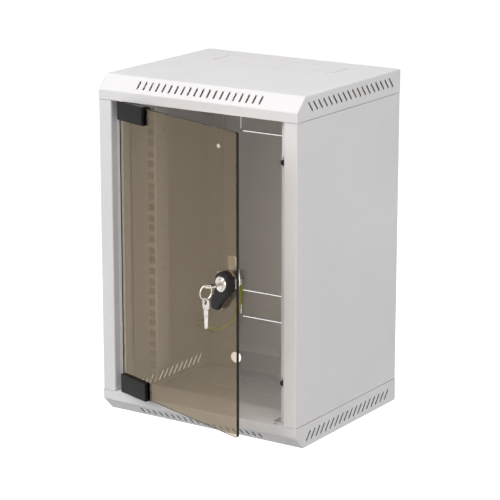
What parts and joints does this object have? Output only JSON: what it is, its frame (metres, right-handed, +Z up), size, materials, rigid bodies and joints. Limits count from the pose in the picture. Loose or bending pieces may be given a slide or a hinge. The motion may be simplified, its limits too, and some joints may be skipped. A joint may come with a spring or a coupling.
{
  "type": "wall mount network cabinet",
  "caption": "Wall-mounted ten-inch network cabinet with folded vented trays, rack rails, smoked glass door with clamp hinges, and a keyed swing-handle lock.",
  "frame": {"origin": "centre of the rear face that lies on the wall, the middle of the four wall fixing holes", "axes": "+Y into the wall, +X to the right as seen from the front, +Z up"},
  "size_m": [0.31, 0.3725, 0.465],
  "materials": {
    "powder_coat": "fine-textured light grey powder coat on 1.2 mm steel",
    "smoked_glass": "bronze-grey tempered glass, 4 mm",
    "black_plastic": "satin moulded black polyamide",
    "black_rubber": "black rubber",
    "galvanised_screw": "bright zinc plate",
    "nickel_plate": "bright nickel plate",
    "tinned_lug": "tinned copper",
    "wire_insulation": "green and yellow striped PVC"
  },
  "bodies": {
    "cabinet": {"lid": "powder_coat", "base_tray": "powder_coat", "side_panel_left": "powder_coat", "side_panel_right": "powder_coat", "rear_panel": "powder_coat", "rear_strip_top": "powder_coat", "rear_strip_bottom": "powder_coat", "rail_left": "powder_coat", "rail_right": "powder_coat", "rail_bracket_top_left": "powder_coat", "rail_bracket_top_right": "powder_coat", "rail_bracket_bottom_left": "powder_coat", "rail_bracket_bottom_right": "powder_coat", "rail_screws": "galvanised_screw", "tray_screws": "galvanised_screw", "rear_panel_screws": "galvanised_screw", "door_bumper_upper": "black_rubber", "door_bumper_lower": "black_rubber", "earth_studs": "galvanised_screw", "cable_lug_rear": "tinned_lug", "cable_lug_side": "tinned_lug", "earth_wire": "wire_insulation"},
    "door": {"glass_pane": "smoked_glass", "hinge_clamp_top_front": "black_plastic", "hinge_clamp_top_rear": "black_plastic", "hinge_clamp_bottom_front": "black_plastic", "hinge_clamp_bottom_rear": "black_plastic", "hinge_pin_top": "galvanised_screw", "hinge_pin_bottom": "galvanised_screw", "hinge_clamp_screws": "galvanised_screw", "lock_housing": "black_plastic", "lock_nut": "nickel_plate"},
    "handle": {"lock_handle": "black_plastic", "lock_barrel": "nickel_plate", "lock_cam": "galvanised_screw", "cam_screw": "galvanised_screw"},
    "plug": {"key_plug": "nickel_plate", "key": "nickel_plate"},
    "ring": {"key_ring": "nickel_plate"},
    "spare": {"spare_key": "nickel_plate"}
  },
  "joints": [
    {"name": "door_hinge", "type": "hinge", "parent": "cabinet", "child": "door", "pos_m": [-0.1195, -0.2537, 0], "axis": [0, 0, -1], "range_deg": [-19, 81]},
    {"name": "handle_turn", "type": "hinge", "parent": "door", "child": "handle", "pos_m": [0.0976, -0.33057, 0.0035], "axis": [0.3256, 0.9455, 0], "range_deg": [0, 100]},
    {"name": "key_turn", "type": "hinge", "parent": "handle", "child": "plug", "pos_m": [0.08878, -0.35619, 0.0035], "axis": [0.3256, 0.9455, 0], "range_deg": [0, 90]},
    {"name": "ring_swing", "type": "hinge", "parent": "plug", "child": "ring", "pos_m": [0.08635, -0.36324, 0.0035], "axis": [0.3256, 0.9455, 0], "range_deg": [-25, 25]},
    {"name": "spare_key_swing", "type": "hinge", "parent": "ring", "child": "spare", "pos_m": [0.08635, -0.36324, -0.0154], "axis": [0.3256, 0.9455, 0], "range_deg": [-25, 25]}
  ]
}
